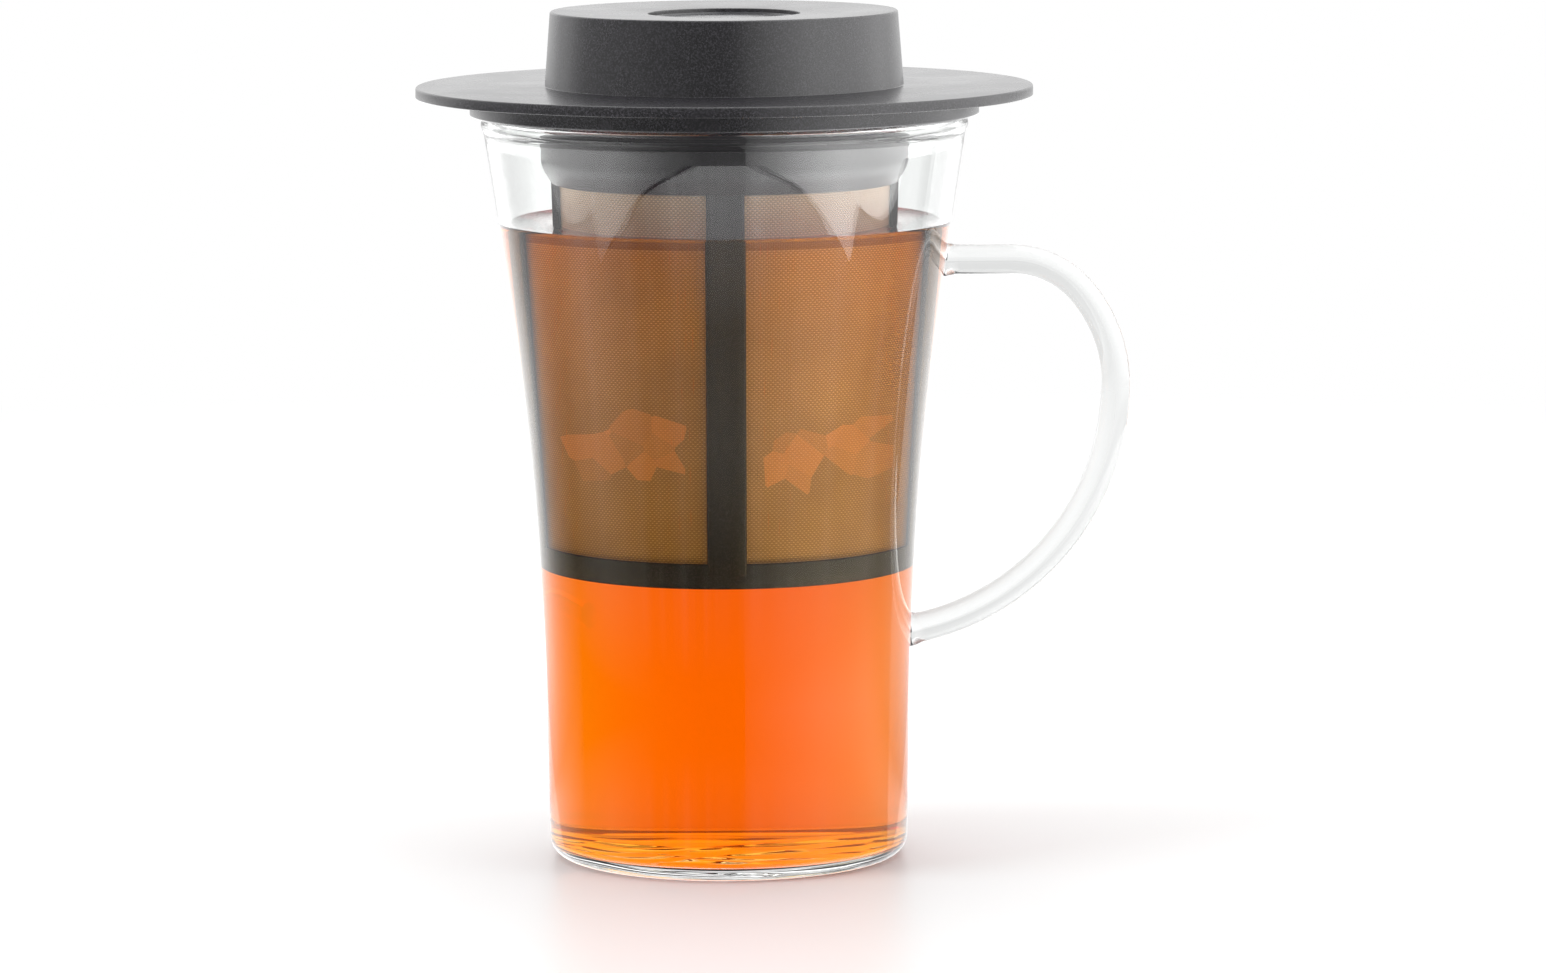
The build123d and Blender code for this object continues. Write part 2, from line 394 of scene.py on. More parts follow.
def plastic_material(name, base, roughness, specular, grain):
    """Moulded plastic with a fine spark-eroded grain, slightly mottled."""
    material = bpy.data.materials.new(name)
    nodes = Nodes(material)
    place = nodes.add("ShaderNodeTexCoord").outputs["Object"]
    fine = nodes.noise(place, 3200.0, detail=2.0, roughness=0.6)
    broad = nodes.noise(place, 90.0, detail=3.0)
    dark = tuple(channel * 0.5 for channel in base[:3]) + (1.0,)
    light = tuple(channel * 4.0 for channel in base[:3]) + (1.0,)
    speckle = nodes.remap(fine, 0.45, 0.8, 0.0, 1.0)
    tone = nodes.mix_colour(speckle, dark, light)
    rough = nodes.remap(broad, 0.3, 0.7, roughness - 0.02, roughness + 0.02)
    bump = nodes.add("ShaderNodeBump", Strength=0.5, Distance=grain, Height=fine)
    plastic = nodes.add("ShaderNodeBsdfPrincipled", IOR=1.5)
    plastic.inputs["Specular IOR Level"].default_value = specular
    nodes.tree.links.new(tone, plastic.inputs["Base Color"])
    nodes.tree.links.new(rough, plastic.inputs["Roughness"])
    nodes.tree.links.new(bump.outputs[0], plastic.inputs["Normal"])
    surface(nodes, plastic.outputs[0])
    return material


WIRE_PITCH = 0.38 * MM
WIRE_HALF_SHARE = 0.32
WIRE_DARK = colour(0.225, 0.133, 0.078)
WIRE_LIGHT = colour(0.8, 0.555, 0.31)
# How lit a wire is where it passes over another: the upright ones less than the others.
UPRIGHT_LIT = 0.45
LEVEL_LIT = 1.0
# Ragged areas of painted orange light on the front half of the rolled mesh, each given by its
# place across the front.
PATCH_PLACES = (-16.7 * MM, 15.0 * MM)
PATCH_HALF_WIDTH = 8.5 * MM
PATCH_HEIGHT = 74.5 * MM
PATCH_HALF_HEIGHT = 4.0 * MM
PATCH_SCALE = 230.0
PATCH_LIGHT_COLOUR = colour(1.0, 0.45, 0.2)
PATCH_LIGHT_STRENGTH = 0.45
# Painted shade on the wires: darker towards the bottom, for light lost on its way down through
# the tea, and a dark band just under the tea's level, in the meniscus's shade.
DEPTH_SHADE_LOW, DEPTH_SHADE_HIGH, DEPTH_SHADE = 55.0 * MM, 105.0 * MM, 0.7
MENISCUS_SHADE_FROM, MENISCUS_SHADE_TO = 110.0 * MM, 111.3 * MM
MENISCUS_SHADE_COLOUR = colour(0.16, 0.06, 0.02)
WIRES_AROUND = round(2 * pi * 27.5 * MM / WIRE_PITCH)


def weave(nodes, across, along, half_share):
    """A plain weave from two coordinates in wires: its cover, its height and how lit it is."""
    masks, heights, tones = [], [], []
    wires = ((across, along, 0.0, UPRIGHT_LIT), (along, across, 1.0, LEVEL_LIT))
    for here, other, shift, lit in wires:
        off_centre = nodes.math("PINGPONG", here, 0.5)
        wire = nodes.math("LESS_THAN", off_centre, half_share)
        phase = nodes.math("ADD", nodes.math("ADD", other, nodes.math("ROUND", here)), shift)
        over = nodes.math("COSINE", nodes.math("MULTIPLY", phase, pi))
        round_side = nodes.math("SUBTRACT", 1.0, nodes.math("MULTIPLY", off_centre, 2.0))
        height = nodes.math("ADD", nodes.math("MULTIPLY", over, 0.5), round_side)
        masks.append(wire)
        heights.append(nodes.math("MULTIPLY", height, wire))
        tones.append(nodes.remap(over, -1.0, 1.0, 0.0, lit))
    cover = nodes.math("MAXIMUM", masks[0], masks[1])
    height = nodes.math("MAXIMUM", heights[0], heights[1])
    tone = nodes.mix_value(nodes.math("GREATER_THAN", heights[1], heights[0]), tones[0], tones[1])
    return cover, height, tone


def patches(nodes, x, y, z):
    """The painted light's share: whole cells whose middle lies near a patch's middle, front half only."""
    flat = nodes.add("ShaderNodeCombineXYZ", X=x, Y=z).outputs[0]
    cells = nodes.add("ShaderNodeTexVoronoi", Vector=flat, Scale=PATCH_SCALE).outputs
    middle_x, middle_z, _ = nodes.add("ShaderNodeSeparateXYZ", Vector=cells["Position"]).outputs
    chance = nodes.add("ShaderNodeSeparateXYZ", Vector=cells["Color"]).outputs[0]
    up = nodes.math("SUBTRACT", middle_z, PATCH_HEIGHT)
    inside = 0.0
    for place in PATCH_PLACES:
        across = nodes.math("SUBTRACT", middle_x, place)
        off = nodes.math("ABSOLUTE", nodes.math("DIVIDE", across, PATCH_HALF_WIDTH))
        rise = nodes.math("ABSOLUTE", nodes.math("DIVIDE", up, PATCH_HALF_HEIGHT))
        near = nodes.math("LESS_THAN", nodes.math("MAXIMUM", off, rise), 1.0)
        inside = nodes.math("MAXIMUM", inside, near)
    inside = nodes.math("MULTIPLY", inside, nodes.math("LESS_THAN", y, 0.0))
    strength = nodes.remap(chance, 0.0, 1.0, 0.3 * PATCH_LIGHT_STRENGTH, PATCH_LIGHT_STRENGTH)
    return nodes.math("MULTIPLY", inside, strength)


def mesh_material(name, rolled):
    """Golden steel micro-mesh: woven wires with see-through gaps between them."""
    material = bpy.data.materials.new(name)
    nodes = Nodes(material)
    place = nodes.add("ShaderNodeTexCoord").outputs["Object"]
    x, y, z = nodes.add("ShaderNodeSeparateXYZ", Vector=place).outputs
    if rolled:
        angle = nodes.math("ARCTAN2", y, x)
        across = nodes.math("MULTIPLY", angle, WIRES_AROUND / (2 * pi))
        along = nodes.math("DIVIDE", z, WIRE_PITCH)
    else:
        across = nodes.math("DIVIDE", x, WIRE_PITCH)
        along = nodes.math("DIVIDE", y, WIRE_PITCH)
    cover, height, tone = weave(nodes, across, along, WIRE_HALF_SHARE)
    stain_and_depth_shade = nodes.remap(nodes.noise(place, 70.0), 0.35, 0.65, 1.0, 0.75)
    # Painted shade: the wires darken towards the bottom, for light lost through the tea; the noise above gives
    # random stains.
    stain_and_depth_shade = nodes.math("MULTIPLY", stain_and_depth_shade, nodes.remap(z, DEPTH_SHADE_LOW, DEPTH_SHADE_HIGH, DEPTH_SHADE, 1.0))
    wire_colour = nodes.mix_colour(nodes.math("MULTIPLY", tone, stain_and_depth_shade), WIRE_DARK, WIRE_LIGHT)
    # Painted shade: a dark band on the wires just under the tea's level, in the meniscus's shade.
    meniscus_shade = nodes.math("MULTIPLY", nodes.math("GREATER_THAN", z, MENISCUS_SHADE_FROM), nodes.math("LESS_THAN", z, MENISCUS_SHADE_TO))
    wire_colour = nodes.mix_colour(nodes.math("MULTIPLY", meniscus_shade, 0.6), wire_colour, MENISCUS_SHADE_COLOUR)
    if rolled:
        # Painted light: ragged bright orange areas on the front of the rolled mesh.
        wire_colour = nodes.mix_colour(patches(nodes, x, y, z), wire_colour, PATCH_LIGHT_COLOUR)
    bump = nodes.add("ShaderNodeBump", Strength=0.6, Distance=0.00008, Height=height)
    wire = nodes.add("ShaderNodeBsdfPrincipled", Metallic=0.5, Roughness=0.45)
    nodes.tree.links.new(wire_colour, wire.inputs["Base Color"])
    nodes.tree.links.new(bump.outputs[0], wire.inputs["Normal"])
    gap = nodes.add("ShaderNodeBsdfTransparent")
    surface(nodes, nodes.mix_shader(cover, gap.outputs[0], wire.outputs[0]))
    return material


# ---------------------------------------------------------------- mug


def wall_points(inset, steps=48):
    """The wall line from the flare's start to the rim bead, moved in by the inset."""
    third = (BEAD_HEIGHT - FLARE_START_HEIGHT) / 3
    low = Vector((FLARE_START_RADIUS - inset, FLARE_START_HEIGHT))
    high = Vector((RIM_RADIUS - BEAD_PROUD - inset, BEAD_HEIGHT))
    low_handle = low + Vector((LOWER_WALL_SLOPE, 1)) * third
    high_handle = high - Vector((RIM_SLOPE, 1)) * third
    points = []
    for step in range(steps + 1):
        t = step / steps
        s = 1 - t
        point = s**3 * low + 3 * s * s * t * low_handle + 3 * s * t * t * high_handle + t**3 * high
        points.append(tuple(point))
    return points


def radius_at(points, height):
    """The radius of a rising profile at a height."""
    for (r0, z0), (r1, z1) in zip(points, points[1:]):
        if z0 <= height <= z1 and z1 > z0:
            return r0 + (r1 - r0) * (height - z0) / (z1 - z0)
    raise ValueError(f"no wall at height {height}")


def bottom_corner(inset, floor, corner, steps=10):
    """The rounded corner between a floor and the wall above it."""
    middle = (BASE_RADIUS - inset - corner, floor + corner)
    points = []
    for step in range(steps + 1):
        turn = pi / 2 * step / steps
        points.append((middle[0] + corner * sin(turn), middle[1] - corner * cos(turn)))
    return points


def floor_points(radius, height, steps=24):
    """Points across a floor from the axis outwards, without the last one."""
    return [(radius * step / steps, height) for step in range(steps)]


def bead_points(steps=20):
    """The fire-polished bead over the rim, from the outer wall round to the inner one."""
    middle = (RIM_RADIUS - BEAD_RADIUS, BEAD_HEIGHT)
    start, end = radians(-50), radians(205)
    points = []
    for step in range(steps + 1):
        turn = start + (end - start) * step / steps
        height = min(middle[1] + BEAD_HALF_HEIGHT * sin(turn), MUG_HEIGHT)
        points.append((middle[0] + BEAD_RADIUS * cos(turn), height))
    return points


def inner_profile():
    """The inside of the mug from the floor's centre to just under the bead."""
    wall = wall_points(GLASS_WALL)
    corner = bottom_corner(GLASS_WALL, GLASS_FLOOR, INNER_CORNER)
    return floor_points(corner[0][0], GLASS_FLOOR) + corner + wall


def tumbler():
    """The glass tumbler as one closed mesh, its wetted inside split off at the tea's edge."""
    corner = bottom_corner(0, 0, BASE_CORNER)
    outer = floor_points(corner[0][0], 0, 6) + corner + wall_points(0)
    bead = bead_points()
    outer = [point for point in outer if point[1] < bead[0][1]]
    inner = [point for point in inner_profile() if point[1] < bead[-1][1]]
    contact = TEA_LEVEL + MENISCUS_RISE
    inner = with_height(inner, contact)
    made = turned("mug_glass_blown", outer + bead + inner[::-1], closed=False)
    swirl_floor(made)
    return made


def with_height(points, height):
    """The profile with a point put in where it crosses a height."""
    radius = radius_at(points, height)
    low = [point for point in points if point[1] < height]
    high = [point for point in points if point[1] > height]
    return low + [(radius, height)] + high


SWIRL_HEIGHT = 0.3
SWIRL_SCALE = 0.06


def swirl_floor(made):
    """Uneven press marks on the inside of the floor, dying out at its edge."""
    edge = (BASE_RADIUS - GLASS_WALL - INNER_CORNER) * MM
    for vertex in made.data.vertices:
        at = vertex.co
        reach = hypot(at.x, at.y)
        if abs(at.z - GLASS_FLOOR * MM) > 1e-7 or reach >= edge:
            continue
        spot = Vector((at.x / MM * 0.8, at.y / MM, 3.0)) * SWIRL_SCALE
        twist = spot + 1.5 * noise.noise_vector(spot * 0.6)
        ridge = 1 - abs(noise.noise(twist)) * 2
        fade = 1 - (reach / edge) ** 4
        at.z += (ridge - 0.7) * SWIRL_HEIGHT * fade * MM


def handle_line():
    """The handle's centre line as points in the XZ plane, from wall to wall."""
    points = []
    at = Vector((BASE_RADIUS + 6.2, HANDLE_TOP))
    heading = 0.0
    runs = [(None, STRAIGHT_END - at.x)]
    runs += [(radius, radius * radians(turn)) for radius, turn in HANDLE_BENDS]
    for radius, length in runs:
        steps = max(2, round(length / ROD_STEP))
        for _ in range(steps):
            points.append(at.copy())
            part = length / steps
            turn = part / radius if radius else 0.0
            chord = part if not radius else 2 * radius * sin(turn / 2)
            direction = heading - turn / 2
            at = at + Vector((cos(direction), sin(direction))) * chord
            heading -= turn
    points.append(at)
    return points


def weld_swell(distance):
    """How much thicker the rod is at a distance from the wall."""
    if distance >= WELD_LENGTH:
        return 0.0
    share = 1 - max(distance, 0.0) / WELD_LENGTH
    return (WELD_RADIUS - ROD_RADIUS) * share * share * (3 - 2 * share)


def handle():
    """The bent glass rod, thicker where it is welded to the wall, with ends in the wall."""
    line = handle_line()
    outer = wall_points(0)
    top_wall = radius_at(outer, HANDLE_TOP)
    build = bmesh.new()
    rings = []
    for number, at in enumerate(line):
        before = line[max(number - 1, 0)]
        after = line[min(number + 1, len(line) - 1)]
        direction = (after - before).normalized()
        side = Vector((-direction.y, direction.x))
        wall = radius_at(outer, at.y) if at.y > FLARE_START_HEIGHT else top_wall
        radius = ROD_RADIUS + weld_swell(at.x - wall)
        ring = []
        for step in range(ROD_AROUND):
            turn = 2 * pi * step / ROD_AROUND
            x = at.x + side.x * radius * cos(turn)
            z = at.y + side.y * radius * cos(turn)
            ring.append(build.verts.new((x * MM, radius * sin(turn) * MM, z * MM)))
        rings.append(ring)
    for low, high in zip(rings, rings[1:]):
        join_rings(build, low, high)
    build.faces.new(rings[0])
    build.faces.new(rings[-1])
    return object_from(build, "handle_rod")


def assign_wet(made):
    """Marks the faces that the tea wets, which are the mug's inside below the tea's edge."""
    inner = inner_profile()
    contact = (TEA_LEVEL + MENISCUS_RISE) * MM
    for face in made.data.polygons:
        at = face.center
        if at.z > contact or at.z < (GLASS_FLOOR - 1) * MM:
            continue
        reach = hypot(at.x, at.y) / MM
        height = max(at.z / MM, GLASS_FLOOR)
        wall = radius_at(inner, height)
        face.material_index = int(reach < wall + GLASS_WALL / 3)


def make_mug():
    """The mug with its handle fused on."""
    made = combined(tumbler(), [handle()])
    assign_wet(made)
    smoothed(made, 30)
    dry = glass_material("clear_glass", GLASS_IOR)
    wet = glass_material("clear_glass_wetted", GLASS_IOR / TEA_IOR)
    indices = [face.material_index for face in made.data.polygons]
    finished(made, "mug", "clear_glass", ["mug_glass", "mug_handle"], dry, wet)
    made.data.polygons.foreach_set("material_index", indices)
    return made


def make_tea():
    """The tea, just inside the glass, with its edge drawn up the wall and the mesh."""
    flat = BASE_RADIUS - GLASS_WALL - INNER_CORNER
    inner = [(max(r - TEA_GAP, 0), z + (TEA_GAP if r < flat else 0)) for r, z in inner_profile()]
    contact = TEA_LEVEL + MENISCUS_RISE
    side = [point for point in with_height(inner, contact) if point[1] <= contact]
    edge = side[-1][0]
    cage = cage_radius(TEA_LEVEL)
    steps = 90
    top = []
    for step in range(1, steps + 1):
        radius = edge * (1 - step / steps)
        rise = MENISCUS_RISE * exp(-(edge - radius) / MENISCUS_REACH)
        rise += 0.35 * MENISCUS_RISE * exp(-abs(radius - cage) / (0.6 * MENISCUS_REACH))
        top.append((radius, TEA_LEVEL + rise))
    made = turned("tea", side + top, closed=False)
    wet = tea_material("tea_at_glass", 1.0, colour(1.0, 1.0, 1.0))
    # The open surface's tint is a painted shade: it darkens what is seen through the surface, which then shows
    # mostly its reflection.
    dimmed_top = tea_material("tea_surface", TEA_IOR, colour(0.16, 0.25, 0.25))
    smoothed(made, 60)
    level = (TEA_LEVEL - 0.5) * MM
    flags = [int(face.center.z > level and face.normal.z > 0.3) for face in made.data.polygons]
    finished(made, "mug", "tea", [], wet, dimmed_top)
    made.data.polygons.foreach_set("material_index", flags)
    return made


# ---------------------------------------------------------------- infuser


def cage_radius(height):
    """The outer radius of the tapered basket at a height."""
    share = (height - CAGE_BOTTOM) / (CAGE_TOP - CAGE_BOTTOM)
    return CAGE_BOTTOM_RADIUS + (CAGE_TOP_RADIUS - CAGE_BOTTOM_RADIUS) * share


def flange_and_collar():
    """The flange with its bevelled edge and the collar that tapers in to the basket."""
    mouth = COLLAR_RADIUS - COLLAR_WALL
    grip_top = wall_high.z + MESH_INSET
    taper_top = COLLAR_TAPER_TOP + COLLAR_WALL
    rim = RIM_RADIUS
    profile = rounded(
        [
            (cage_radius(CAGE_TOP) - CAGE_WALL, CAGE_TOP, 0.2),
            (cage_radius(CAGE_TOP), CAGE_TOP, 0.25),
            (COLLAR_RADIUS, COLLAR_TAPER_TOP, 5.0),
            (COLLAR_RADIUS, MUG_HEIGHT, 0.4),
            (34.55, MUG_HEIGHT, 0.3),
            (34.55, MUG_HEIGHT + 2.2, 0.3),
            (37.5, MUG_HEIGHT + 2.2, 0.3),
            (37.5, MUG_HEIGHT, 0.3),
            (rim, MUG_HEIGHT, 0.3),
            (FLANGE_RADIUS, MUG_HEIGHT + FLANGE_BEVEL, 0.3),
            (FLANGE_RADIUS, FLANGE_TOP, 0.1),
            (mouth, FLANGE_TOP, 0.5),
            (mouth, taper_top, 1.0),
            (cage_radius(grip_top) - CAGE_WALL, grip_top, 0.2),
        ]
    )
    return turned("infuser_frame_moulded", profile)


def tapered_ring(name, low, high, rounding):
    """A ring that follows the basket's taper, with rounded edges."""
    corners = []
    for height, order in ((low, (CAGE_WALL, 0)), (high, (0, CAGE_WALL))):
        corners += [(cage_radius(height) - inset, height, rounding) for inset in order]
    return turned(name, rounded(corners))


def bar(name, ends, width, low_high, rounding):
    """A rounded bar along +X between two radii, each (inner, outer) at its own height."""
    build = bmesh.new()
    half = width / 2 * MM
    verts = []
    for (inner, outer), height in zip(ends, low_high):
        for x in (inner, outer):
            for y in (-half, half):
                verts.append(build.verts.new((x * MM, y, height * MM)))
    for face in ((0, 1, 3, 2), (4, 6, 7, 5), (0, 4, 5, 1), (2, 3, 7, 6), (0, 2, 6, 4), (1, 5, 7, 3)):
        build.faces.new([verts[number] for number in face])
    bmesh.ops.bevel(
        build, geom=build.edges[:], offset=rounding * MM, segments=3, profile=0.5, affect="EDGES"
    )
    return object_from(build, name)


def rib(number):
    """One upright rib, sunk a little into the collar and the bottom ring."""
    low, high = CAGE_BOTTOM + RING_HEIGHT / 2, CAGE_TOP + 1.2
    ends = []
    for height in (low, high):
        outer = cage_radius(height)
        ends.append((outer - CAGE_WALL, outer))
    made = bar("rib", ends, RIB_WIDTH, (low, high), 0.3)
    made.data.transform(Matrix.Rotation(2 * pi * number / RIB_COUNT, 4, "Z"))
    return made


def arm(number):
    """One arm of the bottom cross, from the hub into the ring."""
    reach = cage_radius(CAGE_BOTTOM) - CAGE_WALL / 2
    low, high = CAGE_BOTTOM, CAGE_BOTTOM + ARM_HEIGHT
    made = bar("arm", ((0, reach), (0, reach)), ARM_WIDTH, (low, high), 0.25)
    made.data.transform(Matrix.Rotation(2 * pi * number / RIB_COUNT, 4, "Z"))
    return made


def make_infuser_frame(material, flange_material):
    """Flange, collar, ribs, ring and cross, fused to one moulding."""
    ring = tapered_ring("ring", CAGE_BOTTOM, CAGE_BOTTOM + RING_HEIGHT, 0.3)
    low, high = CAGE_BOTTOM, CAGE_BOTTOM + ARM_HEIGHT
    hub_corners = [(0, low, 0), (HUB_RADIUS, low, 0.25), (HUB_RADIUS, high, 0.25), (0, high, 0)]
    hub = turned("hub", rounded(hub_corners), around=96, closed=False)
    others = [ring, hub] + [rib(n) for n in range(RIB_COUNT)] + [arm(n) for n in range(RIB_COUNT)]
    made = combined(flange_and_collar(), others)
    smoothed(made, 30)
    finished(made, "infuser", "charcoal_plastic", ["infuser_frame"], material, flange_material)
    flags = [int(face.center.z > MUG_HEIGHT * MM) for face in made.data.polygons]
    made.data.polygons.foreach_set("material_index", flags)
    return made


def make_mesh_wall(material):
    """The rolled mesh wall, a thin closed shell inside the ribs."""
    inset = CAGE_WALL + MESH_INSET
    profile = []
    for height in (wall_low.z, wall_high.z):
        profile.append((cage_radius(height) - inset, height))
    for height in (wall_high.z, wall_low.z):
        profile.append((cage_radius(height) - inset - MESH_THICKNESS, height))
    made = smoothed(turned("infuser_mesh_rolled", profile))
    return finished(made, "infuser", "golden_mesh", ["infuser_mesh_wall"], material)


def make_mesh_floor(material):
    """The mesh disc on the bottom cross."""
    radius = floor_high.x
    profile = [(0, floor_low.z), (radius, floor_low.z), (radius, floor_high.z), (0, floor_high.z)]
    made = smoothed(turned("infuser_mesh_disc", profile, closed=False))
    return finished(made, "infuser", "golden_mesh", ["infuser_mesh_floor"], material)


# ---------------------------------------------------------------- lid


def make_lid(material):
    """The brim, the hollow crown with its recess, and the lip that centres the lid."""
    roof = CROWN_TOP - CROWN_ROOF
    draft = (CROWN_BASE_RADIUS - CROWN_TOP_RADIUS) / (CROWN_TOP - BRIM_TOP)
    hollow = CROWN_BASE_RADIUS - CROWN_WALL
    profile = rounded(
        [
            (0, roof, 0),
            (hollow - draft * (roof - BRIM_TOP), roof, 1.2),
            (hollow, BRIM_TOP, 0),
            (LIP_OUTER - LIP_WALL, LIP_BOTTOM, 0.4),
            (LIP_OUTER, LIP_BOTTOM, 0.4),
            (LIP_OUTER, FLANGE_TOP, 0.3),
            (BRIM_RADIUS, FLANGE_TOP, 0.12),
            (BRIM_RADIUS, BRIM_TOP, 0.35),
            (CROWN_BASE_RADIUS, BRIM_TOP, 0.15),
            (CROWN_TOP_RADIUS, CROWN_TOP, 0.4),
            (RECESS_RADIUS, CROWN_TOP - CROWN_DISH, 0.2),
            (RECESS_RADIUS, RECESS_FLOOR, 0.1),
            (0, RECESS_FLOOR, 0),
        ]
    )
    made = smoothed(turned("lid_shell_moulded", profile, closed=False), 40)
    return finished(made, "lid", "charcoal_plastic", ["lid_shell"], material)


def make_badge(material):
    """The plain disc in the crown's recess, with one raised ring near its edge."""
    low, high = badge_low.z - CROWN_DISH, badge_high.z - CROWN_DISH
    radius = badge_high.x
    profile = rounded(
        [
            (0, low, 0),
            (radius, low, 0.05),
            (radius, high, 0.15),
            (radius - 1.1, high, 0.1),
            (radius - 1.3, high - 0.25, 0.1),
            (0, high - 0.25, 0),
        ]
    )
    made = smoothed(turned("lid_badge_disc", profile, closed=False), 40)
    return finished(made, "lid", "badge_plastic", ["lid_badge"], material)


# ---------------------------------------------------------------- studio

# The camera, worked out from the ellipses of the brim, rim, tea and base.
PHOTO_WIDTH = 1546
FOCAL_PIXELS = 6854
SENSOR = 36.0
CAMERA_AWAY = 1.194
CAMERA_UP = 0.2207
CAMERA_PITCH = 7.43
CAMERA_YAW = 0.39
CAMERA_ROLL = 0.3


def make_camera():
    """The camera in front of the mug, a little above it."""
    data = bpy.data.cameras.new("camera")
    data.sensor_width = SENSOR
    data.lens = SENSOR * FOCAL_PIXELS / PHOTO_WIDTH
    made = bpy.data.objects.new("camera", data)
    bpy.context.scene.collection.objects.link(made)
    turn = Matrix.Rotation(-radians(CAMERA_YAW), 4, "Z")
    turn = turn @ Matrix.Rotation(radians(90 - CAMERA_PITCH), 4, "X")
    turn = turn @ Matrix.Rotation(-radians(CAMERA_ROLL), 4, "Z")
    made.matrix_world = Matrix.Translation((0, -CAMERA_AWAY, CAMERA_UP)) @ turn
    data.clip_start, data.clip_end = 0.05, 50
    bpy.context.scene.camera = made


def area_lamp(name, place, aim, size, power):
    """A soft rectangular lamp aimed at a point."""
    data = bpy.data.lights.new(name, "AREA")
    data.shape = "RECTANGLE"
    data.size, data.size_y = size
    data.energy = power
    made = bpy.data.objects.new(name, data)
    bpy.context.scene.collection.objects.link(made)
    made.location = place
    made.rotation_euler = (Vector(aim) - Vector(place)).to_track_quat("-Z", "Y").to_euler()
    made.visible_camera = False
    made.visible_glossy = False
    made.visible_transmission = False
    return made


def make_lamps():
    """One broad lamp overhead and one on the right, with a weaker one on the left."""
    area_lamp("overhead", (0.0, 0.3, 1.1), (0, 0, 0.05), (1.4, 1.4), 9.0)
    area_lamp("right", (1.0, -0.5, 0.45), (0, 0, 0.08), (0.7, 0.9), 4.2)
    area_lamp("left", (-1.0, -0.35, 0.5), (0, 0, 0.08), (0.6, 0.8), 7.0)


# The studio as mirrors see it, by the bearing from the camera's side, in degrees: dark where
# the camera stands, a white wall on the right, white all round the back.
DARK_FROM = -105.0
DARK_BLEND = 40.0
WALL_FROM = 10.5
WALL_FULL = 62.0
WALL_EDGE_LIGHT = 0.4
WALL_LIGHT = 2.5
WALL_END = 125.0
BACKDROP_LIGHT = 1.8
FLOOR_BEHIND_LIGHT = 1.3
THROUGH_LIGHT = 0.95
AMBIENT = 0.55
# The white sheet close in front, where a mirror looks down more steeply than this arch, which
# sinks with the square of the bearing and then evenly. A dark line edges it, and the table
# before it is dim.
ARCH_STEEP = 0.3858
ARCH_BEND = 0.0000128
ARCH_SIDE, ARCH_SIDE_FALL, ARCH_SIDE_TOP = 0.451, 0.00174, 0.325
ARCH_LINE = 0.0004
DIM_FROM, DIM_TO, DIM_LIGHT = 0.28, 0.33, 0.75
GREY_FROM, GREY_TO, GREY_LIGHT = 0.36, 0.38, 1.1
FACE_LIGHT, FACE_SIDE = 0.45, 12.0
PALE_FROM, PALE_LIGHT, PALE_SIDE, PALE_SIDE_LIGHT = 30.0, 1.0, 60.0, 1.9
PALE_END = 0.45
# Soft upright streaks on the table before the sheet.
STREAK_SCALE, STREAK_DARK, STREAK_LIGHT = 0.09, 0.14, 0.6
FRONT_FROM, FRONT_TO, FRONT_LEFT_LIGHT, FRONT_LIGHT, FRONT_SIDE = -95.0, -10.0, 0.75, 0.33, 130.0
LEFT_FROM, LEFT_FULL, LEFT_LIGHT = -45.0, -80.0, 1.6


